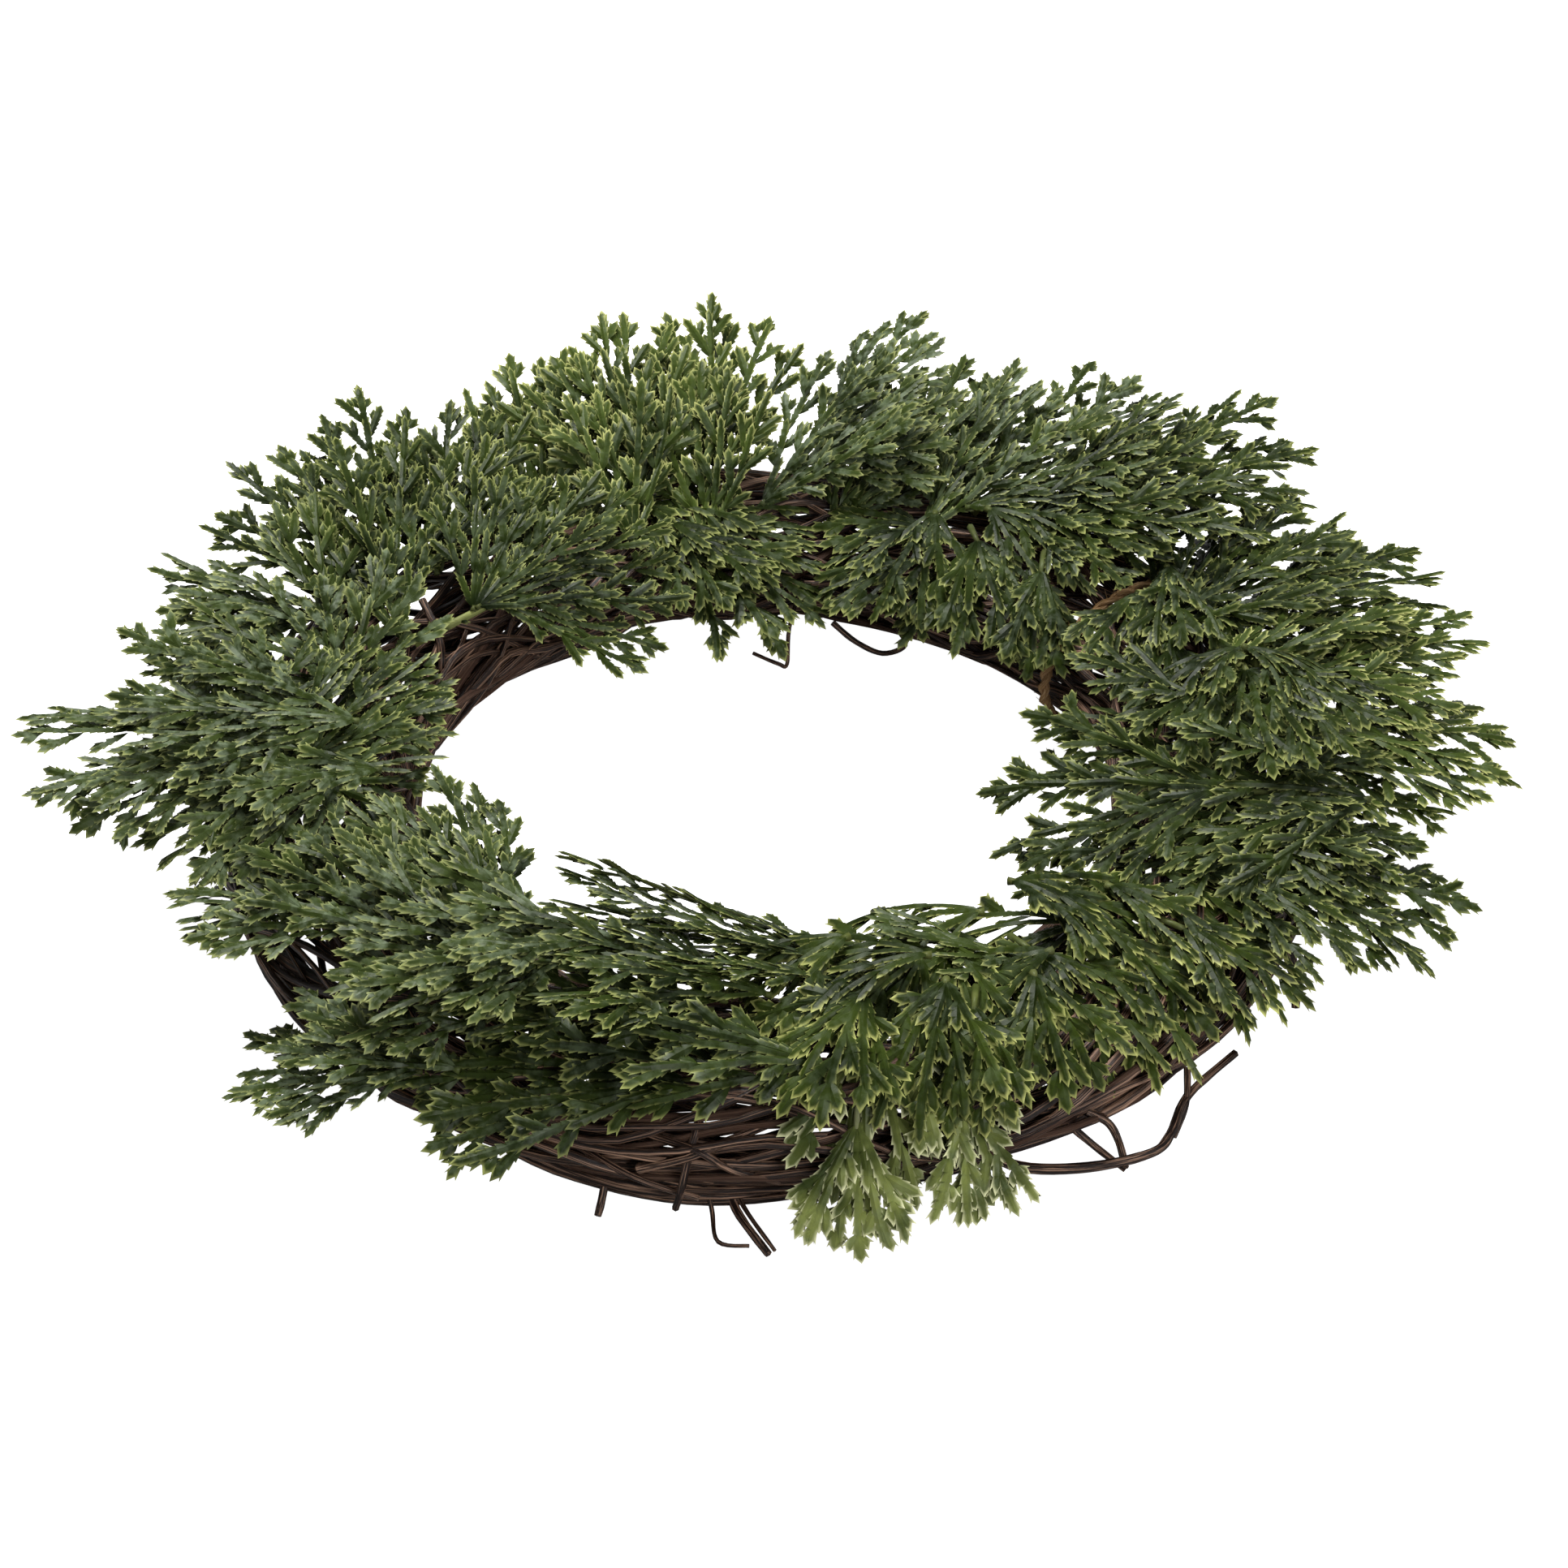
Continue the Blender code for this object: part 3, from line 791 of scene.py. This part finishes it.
def fan(whole, rng, length, spread, branches, stem, bend, place):
    """A whole fan with its stem, curled and put in its place (mm)."""
    bm = leaf_bmesh()
    stem_rod(bm, stem)
    reach = length - stem
    spread = math.radians(spread)
    step = 2 * spread / branches
    for i in range(branches):
        way = -spread + (i + 0.5) * step
        tip = reach * (1.0 - 0.22 * (way / spread) ** 2) * rng.uniform(0.93, 1.04)
        branch(bm, rng, (stem - 1.0, 0.0, 0.0), way + rng.uniform(-0.05, 0.05), tip, step,
               -0.004 * way / spread)
    curl(bm, length, bend, stem, reach)
    add_to(whole, bm, place)


# %% [markdown]
# ## Shorter fans beside the main one
# One fan alone would be flat and thin. Up to four shorter ones are wired in with it, above it, beside it
# or turned back over the vines, and they give the foliage its depth. Each row sets one in mm from the
# end of the stem (along the spray, to its left, up), then its heading and rise from the spray's own
# (degrees) and its share of the length. Sprays that aren't named get the usual three.

# %% Fans beside
TO_LEFT, TO_RIGHT, ABOVE = (-2, 0, 2.5, 30, 4, 0.84), (-2, 0, 3.5, -31, 6, 0.84), (-10, 0, 5.0, 3, 9, 0.84)
BESIDE = {
    "usual": (TO_LEFT, TO_RIGHT, ABOVE),
    "rear": (TO_LEFT, TO_RIGHT, (-14, 0, 6.0, 3, 9, 0.84)),
    "great_fan": ((16, 0, 0.5, 44, 4, 0.56), (17, 0, 1.0, 8, 3, 0.6)),
    "umbrella": ((16, 0, 1, 52, -6, 0.5), (16, 0, 1, -52, -6, 0.5), (17, 0, 1.5, 172, -12, 0.34)),
    "front_short": ((-2, 0, 1.5, 14, -5, 0.75),),
    "front_inner": ((-2, 0, 1.5, 14, -3, 0.75), (-2, 0, 1.0, -14, -2, 0.85)),
    "front_left_wide": ((-2, 0, 2.5, -26, 4, 0.84), (-14, 0, 6.0, -6, 8, 0.7)),
    "front_mid": ((-3, 9, 1.5, 24, -6, 0.9), (-5, -9, 2.0, -28, -4, 0.9),
                  (-6, -4, 2.0, -84, -6, 1.1), (-9, 12, 2.0, -66, -6, 1.0)),
    "front_fan": ((-4, 9, 1.5, 26, -6, 0.9), (-4, -10, 1.5, -26, -4, 0.85), (-7, 4, 2.5, -56, -2, 1.0)),
    "front_right_fan": ((-4, 10, 1.5, 26, -8, 0.9), (-4, -10, 1.5, -30, -6, 0.9),
                        (-6, 0, 2.0, -134, -5, 1.1), (-9, 8, 3.0, 32, 2, 0.9)),
    "front_right_side": ((-4, 9, 2.0, 28, -4, 0.9), (-3, -9, 1.0, -25, -8, 0.85), (-9, 0, 3.0, 6, 2, 0.95),
                         (-7, -10, 2.0, -146, -4, 0.9)),
    "front_hanging": ((-9, 1, 2.5, 2, -2, 1.0),),
    "front_hanging_right": ((-9, -1, 2.5, -4, -2, 1.0),),
    "behind_fan": ((-2, 0, 1.5, 26, 0, 0.84), (-2, 0, 2.5, -30, 0, 0.84)),
    "rear_left_inner": ((-2, 0, 1.5, 26, 2, 0.8),),
    "left_crown": ((-2, 0, 1.5, 34, 6, 0.76), (-4, 0, 2.0, 70, 8, 0.7), (11, -8, 2.0, 26, 3, 0.78),
                   (8, -9, 0.0, -22, -2, 0.62)),
    "left_small": ((-2, 0, 2.5, 32, 4, 0.9), (-4, 0, 3.5, -62, 22, 0.9), (-8, 0, 4.0, 3, 9, 0.9)),
    "left_rear": (TO_LEFT, (-6, 0, 3.0, -84, 24, 0.85), (-4, 0, 4.0, -33, 8, 0.84)),
    "left_inner": ((-2, 0, 1.5, 28, 0, 0.8), (-2, 3, 3.0, 12, 5, 0.9), (-6, 6, 3.0, 60, 8, 0.7)),
    "hanging_rear": ((-3, 4, 2.0, 26, 4, 0.85), (-4, -6, 2.0, -24, 2, 0.8)),
    "hanging_side": (),
    "right_inner_rear": ((-4, 8, 1.5, 25, -2, 0.85), (-4, -6, 1.5, -10, -2, 0.7),
                         (-12, 0, 4.0, 6, 5, 0.85)),
    "right_inner": ((-4, 9, 0.0, 20, -6, 0.9), (-4, -9, 1.0, -22, -3, 0.85), (-17, 3, 4.0, 8, 5, 0.8)),
    "right_crown": ((-3, 0, 2.5, 36, 4, 0.9), (-3, 0, 3.0, -36, 4, 0.9), (-12, 0, 5.0, 2, 8, 0.9)),
    "rear_left": (TO_LEFT, (-14, 0, 6.0, 6, 9, 0.84)),
    "rear_tall": ((2, -2, 2.0, -31, 2, 0.8), (-8, -4, 5.0, -12, 6, 0.84)),
    "right_rear": (TO_LEFT, TO_RIGHT, ABOVE, (-4, 4, 3.0, 50, 10, 0.95)),
    "rear_small": ((-3, 6, 1.5, 26, 0, 0.9), (-3, -6, 1.5, -26, 2, 0.9)),
}


# %% [markdown]
# ## Setting a spray in its place
# The fans of one spray are built together, in mm, with the stem along X, and then turned to its heading.
# The place is read from the model: a spray begins where the vertices of its solid lie farthest back
# along its own direction. A spray of larger leaflets is built smaller and scaled up, stem and all.

# %% Plant one spray
WIDEST_BESIDE, MOST_BESIDE, SHORT_STEM = 40, 5, 1.5  # half spread, branches and stem of fans beside


def stem_end(solid, turn):
    """Where the model's spray begins, in metres."""
    level = turn.to_matrix().inverted()
    corners = [v.co for v in solid.data.vertices]
    back_most = min((level @ c).x for c in corners)
    near = [c for c in corners if (level @ c).x < back_most + 0.02 * MM]
    return sum(near, Vector()) / len(near)


def plant(place, row, material):
    """Make the spray of this place, such as rear_tall, which stands for the model's spray_rear_tall."""
    heading, rise, bend, roll, length, spread, branches, stem, size = row
    length, stem = length / size, stem / size
    rng = random.Random(f"spray_{place}")
    bm = leaf_bmesh()
    fan(bm, rng, length, spread, branches, stem, bend, Matrix.Identity(4))
    others = BESIDE["rear" if place.startswith("rear") else "usual"]
    for *spot, way, lift, share in BESIDE.get(place, others):
        turn = Euler((0, -math.radians(lift), math.radians(way + rng.uniform(-6, 6))))
        fan(bm, rng, length * share, min(spread, WIDEST_BESIDE), min(branches, MOST_BESIDE), SHORT_STEM,
            bend, Matrix.LocRotScale(Vector(spot), turn, None))
    turn = Euler((math.radians(roll), -math.radians(rise), math.radians(heading)), "XYZ")
    spot = stem_end(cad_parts[f"spray_{place}"], turn)
    bmesh.ops.transform(bm, matrix=Matrix.LocRotScale(spot, turn, Vector((MM, MM, MM)) * size),
                        verts=bm.verts[:])
    finish_piece(f"cedar_{place}", bm, material, [f"spray_{place}"])


# %% [markdown]
# ## Moulded cedar plastic
# The sprays are soft plastic: deep green, a little glossy, with paler yellow-green where the mould left it
# thin, and a whitish bloom in patches that is partly dust and partly painted sheen. One group does this
# for all the finishes, from a few clouds of noise on Object coordinates and from the leaflets' three notes.

# %% The cedar plastic
# the bloom colour: partly dust, partly a painted whitish sheen
DUST_AND_SHEEN_COLOUR = (0.24, 0.30, 0.19, 1.0)  # the colour of the bloom


def cedar_group():
    group, given, wanted = new_group(
        "cedar_plastic",
        (("Deep", "Color", (0.01, 0.03, 0.01, 1)), ("Fresh", "Color", (0.04, 0.1, 0.03, 1)),
         ("Edge", "Color", (0.3, 0.35, 0.08, 1)), ("Bloom And Sheen", "Float", 0.3), ("Edge Amount", "Float", 1.0)),
        (("Colour", "Color"), ("Gloss", "Float"), ("Height", "Float")))
    links = group.links

    def note(name):
        return node(group, "ShaderNodeAttribute", attribute_name=name).outputs["Fac"]

    def feed(socket, value):
        """Set a socket to a plain value, or link it to another node's output."""
        if isinstance(value, (float, tuple)):
            socket.default_value = value
        else:
            links.new(value, socket)

    def mix(factor, a, b):
        made = node(group, "ShaderNodeMix", data_type="RGBA")
        for place, value in ((0, factor), (6, a), (7, b)):  # 6 and 7 are its two colours
            feed(made.inputs[place], value)
        return made.outputs[2]

    def window(value, low, high):
        made = node(group, "ShaderNodeMapRange", interpolation_type="SMOOTHSTEP")
        links.new(value, made.inputs["Value"])
        set_inputs(made, {"From Min": low, "From Max": high})
        return made.outputs["Result"]

    def times(a, b):
        made = node(group, "ShaderNodeMath", operation="MULTIPLY")
        feed(made.inputs[0], a)
        feed(made.inputs[1], b)
        return made.outputs[0]

    coords = node(group, "ShaderNodeTexCoord").outputs["Object"]

    def cloud(scale, detail=3.0):
        made = node(group, "ShaderNodeTexNoise")
        set_inputs(made, {"Scale": scale, "Detail": detail})
        links.new(coords, made.inputs["Vector"])
        return made.outputs["Fac"]

    # patches of the two greens about 10 mm across; then the tips are fresher, and the lower ribs paler
    green = mix(window(cloud(90.0), 0.35, 0.68), given["Deep"], given["Fresh"])
    green = mix(times(window(note("tipward"), 0.55, 1.0), 0.5), green, given["Fresh"])
    green = mix(times(note("under"), 0.5), green, given["Edge"])
    # bloom in 2 mm specks, thick in some places and missing in others; partly dust, partly painted whitish
    # sheen
    bloom_and_sheen_specks = times(window(cloud(420.0, 6.0), 0.42, 0.66), given["Bloom And Sheen"])
    dust_and_sheen = times(bloom_and_sheen_specks, window(cloud(60.0), 0.3, 0.6))
    green = mix(dust_and_sheen, green, DUST_AND_SHEEN_COLOUR)
    # the pale edge, stronger on some leaflets than on others
    patchy = times(given["Edge Amount"], window(cloud(160.0), 0.2, 0.6))
    edge = times(window(note("pale"), 0.45, 0.98), patchy)
    links.new(mix(edge, green, given["Edge"]), wanted["Colour"])
    links.new(window(cloud(300.0), 0.2, 0.9), wanted["Gloss"])
    links.new(cloud(1400.0, 2.0), wanted["Height"])
    return group


CEDAR = cedar_group()
print("group", CEDAR.name, "with", len(CEDAR.nodes), "nodes")

# %% [markdown]
# ## Five finishes of the same plastic
# Sprays come from several mouldings, and some have stood in the dust for longer, so the ring mixes five
# finishes. The dusty one also carries more painted sheen in its bloom, and the one for the lowest hanging
# tips is painted backlight: light greens and a near-white edge for the glow of light through the plastic.
# Each is the group with its own two greens, edge colour, bloom (dust and painted sheen) and amount of
# edge. What is the same all over a leaf, such as its faint clear coat, is set on the shader itself.

# %% The five finishes
SATIN = (0.36, 0.55)  # the least and the most roughness


def cedar_material(name, deep, fresh, edge, bloom_and_sheen, edge_amount):
    made, tree, shader = new_finish(name)
    plastic = node(tree, "ShaderNodeGroup", node_tree=CEDAR)
    set_inputs(plastic, {"Deep": (*deep, 1), "Fresh": (*fresh, 1), "Edge": (*edge, 1),
                         "Bloom And Sheen": bloom_and_sheen, "Edge Amount": edge_amount})
    tree.links.new(plastic.outputs["Colour"], shader.inputs["Base Color"])
    gloss = node(tree, "ShaderNodeMapRange")
    set_inputs(gloss, {"To Min": SATIN[0], "To Max": SATIN[1]})
    tree.links.new(plastic.outputs["Gloss"], gloss.inputs["Value"])
    tree.links.new(gloss.outputs["Result"], shader.inputs["Roughness"])
    bump_from(tree, plastic.outputs["Height"], shader, 0.0002, 0.5)
    set_inputs(shader, {"IOR": 1.48, "Specular IOR Level": 0.1,
                        "Coat Weight": 0.06, "Coat Roughness": 0.26})
    return made


FINISHES = {
    # name: deep green, fresh green, edge, bloom (dust and painted sheen), amount of edge
    "deep": ((0.009, 0.0155, 0.003), (0.029, 0.045, 0.007), (0.37, 0.40, 0.13), 0.17, 0.9),
    "dust_and_sheen": ((0.015, 0.024, 0.005), (0.044, 0.065, 0.013), (0.38, 0.41, 0.15), 0.45, 0.85),
    "warm": ((0.012, 0.0205, 0.003), (0.039, 0.059, 0.008), (0.48, 0.50, 0.16), 0.13, 1.0),
    "bright": ((0.020, 0.033, 0.006), (0.060, 0.088, 0.016), (0.52, 0.54, 0.19), 0.15, 1.0),
    # painted backlight: greens and edge this light paint the glow of light through the thin hanging tips
    "painted_backlight": ((0.032, 0.048, 0.008), (0.25, 0.29, 0.08), (0.88, 0.89, 0.52), 0.2, 1.0),
}
DEEP, DUST_AND_SHEEN, WARM, BRIGHT, PAINTED_BACKLIGHT = (cedar_material(f"cedar_{name}", *row) for name, row in FINISHES.items())
print("cedar finishes:", *FINISHES)

# %% [markdown]
# ## The planting
# A list says how each spray is turned: its heading seen from above, how steeply it rises, how far it
# bends down along its length, its roll, its length in mm, half its spread, its branches and its bare
# stem. The finish follows from where it sits: dusty, with more painted sheen, on the left and at the far
# side, bright at the outer right and the rear left, warm where it hangs over the front, painted backlight
# (a glow as of light through the plastic) on the two that hang lowest there, and deep for the rest,
# most of it on the inside.

# %% Plant every spray
SPRAYS = {
    # place: heading, rise, bend, roll, length, spread, branches, stem, leaf size, finish
    "right_wide": (5, 8, 30, 0, 60, 40, 7, 12, 1.0, BRIGHT),
    "right_second": (27, 12, 26, 0, 58, 32, 6, 10, 1.0, BRIGHT),
    "right_rear": (20, 16, 20, 0, 59, 34, 6, 10, 1.0, DEEP),
    "rear_right_second": (-10, 8, 14, 0, 48, 34, 6, 8, 0.95, DEEP),
    "rear_right": (22, 20, 16, 0, 60, 32, 6, 10, 0.95, DEEP),
    "rear_slim": (38, 24, 8, 0, 56, 28, 5, 14, 0.95, DUST_AND_SHEEN),
    "rear_mid": (47, 26, 8, 0, 48, 30, 5, 10, 0.95, DUST_AND_SHEEN),
    "rear_tall": (42, 34, 10, 0, 53, 36, 6, 18, 0.95, DUST_AND_SHEEN),
    "rear_left": (86, 40, 6, 0, 48, 38, 6, 8, 0.95, BRIGHT),
    "rear_left_second": (92, 37, 6, 0, 47, 32, 5, 8, 0.95, BRIGHT),
    "behind_fan": (90, 37, 4, 0, 51, 30, 5, 10, 0.95, BRIGHT),
    "great_fan": (26, 16, 10, 26, 62, 64, 9, 20, 0.88, DEEP),
    "rear_inner": (-42, 8, 35, 0, 43, 45, 6, 7, 1.1, DEEP),
    "rear_small": (208, 6, 30, 0, 32, 34, 5, 7, 1.1, DEEP),
    "hanging_rear": (-78, 6, 50, 0, 40, 38, 6, 7, 1.1, DEEP),
    "hanging_side": (-99, 4, 50, 0, 34, 32, 5, 8, 1.1, DEEP),
    "right_inner_rear": (-95, 6, 24, 0, 38, 34, 5, 8, 1.0, DEEP),
    "right_inner": (189, 12, 26, -18, 61, 50, 8, 14, 1.0, DEEP),
    "right_crown": (-6, 12, 22, 0, 45, 54, 7, 10, 1.0, DEEP),
    "right_low": (-3, 8, 32, 0, 53, 38, 7, 10, 1.0, DEEP),
    "umbrella": (-88, 34, 60, 0, 56, 76, 9, 20, 1.0, DEEP),
    "front_hanging": (-95, -20, 55, 0, 34, 36, 6, 8, 1.15, PAINTED_BACKLIGHT),
    "front_hanging_right": (-72, -20, 50, 0, 31, 32, 5, 7, 1.15, PAINTED_BACKLIGHT),
    "front_right_side": (-35, 4, 45, 0, 37, 42, 6, 8, 1.15, WARM),
    "front_right_fan": (-50, 6, 60, 0, 38, 52, 7, 8, 1.15, WARM),
    "front_mid": (-96, 4, 55, 0, 33, 40, 6, 7, 1.15, WARM),
    "front_fan": (-126, 8, 60, 0, 37, 56, 7, 8, 1.15, WARM),
    "front_short": (172, 18, 10, 14, 38, 24, 5, 8, 0.9, DUST_AND_SHEEN),
    "front_inner": (164, 16, 8, 30, 72, 18, 5, 12, 0.8, DEEP),
    "front_left_wide": (184, 3, 10, -24, 60, 27, 7, 8, 1.2, DEEP),
    "front_left_crown": (174, 8, 12, 18, 50, 28, 6, 8, 1.0, DEEP),
    "front_left": (188, 9, 8, 0, 45, 28, 6, 7, 1.15, DUST_AND_SHEEN),
    "left_front_outer": (156, -2, 8, 0, 40, 34, 6, 7, 1.0, DUST_AND_SHEEN),
    "left_front": (142, 6, 18, 0, 44, 44, 7, 8, 1.0, DUST_AND_SHEEN),
    "left_side": (192, 4, 30, 0, 42, 44, 6, 8, 1.0, DUST_AND_SHEEN),
    "left_inner": (126, 22, 6, 0, 54, 42, 8, 8, 0.95, DUST_AND_SHEEN),
    "left_wide": (182, 3, 10, 0, 62, 38, 7, 10, 1.0, DUST_AND_SHEEN),
    "left_rear": (158, 8, 10, 0, 40, 40, 6, 8, 1.0, DUST_AND_SHEEN),
    "left_crown": (28, 18, 6, 0, 48, 44, 6, 16, 1.0, DEEP),
    "left_small": (165, 12, 4, 0, 34, 36, 5, 7, 1.0, DUST_AND_SHEEN),
    "rear_left_tall": (104, 20, 4, 0, 60, 30, 6, 8, 0.95, DEEP),
    "rear_left_inner": (80, 24, 4, 0, 48, 30, 5, 8, 0.95, DEEP),
}
for place, (*row, finish) in SPRAYS.items():
    plant(place, row, finish)
print("planted", len(SPRAYS), "sprays")
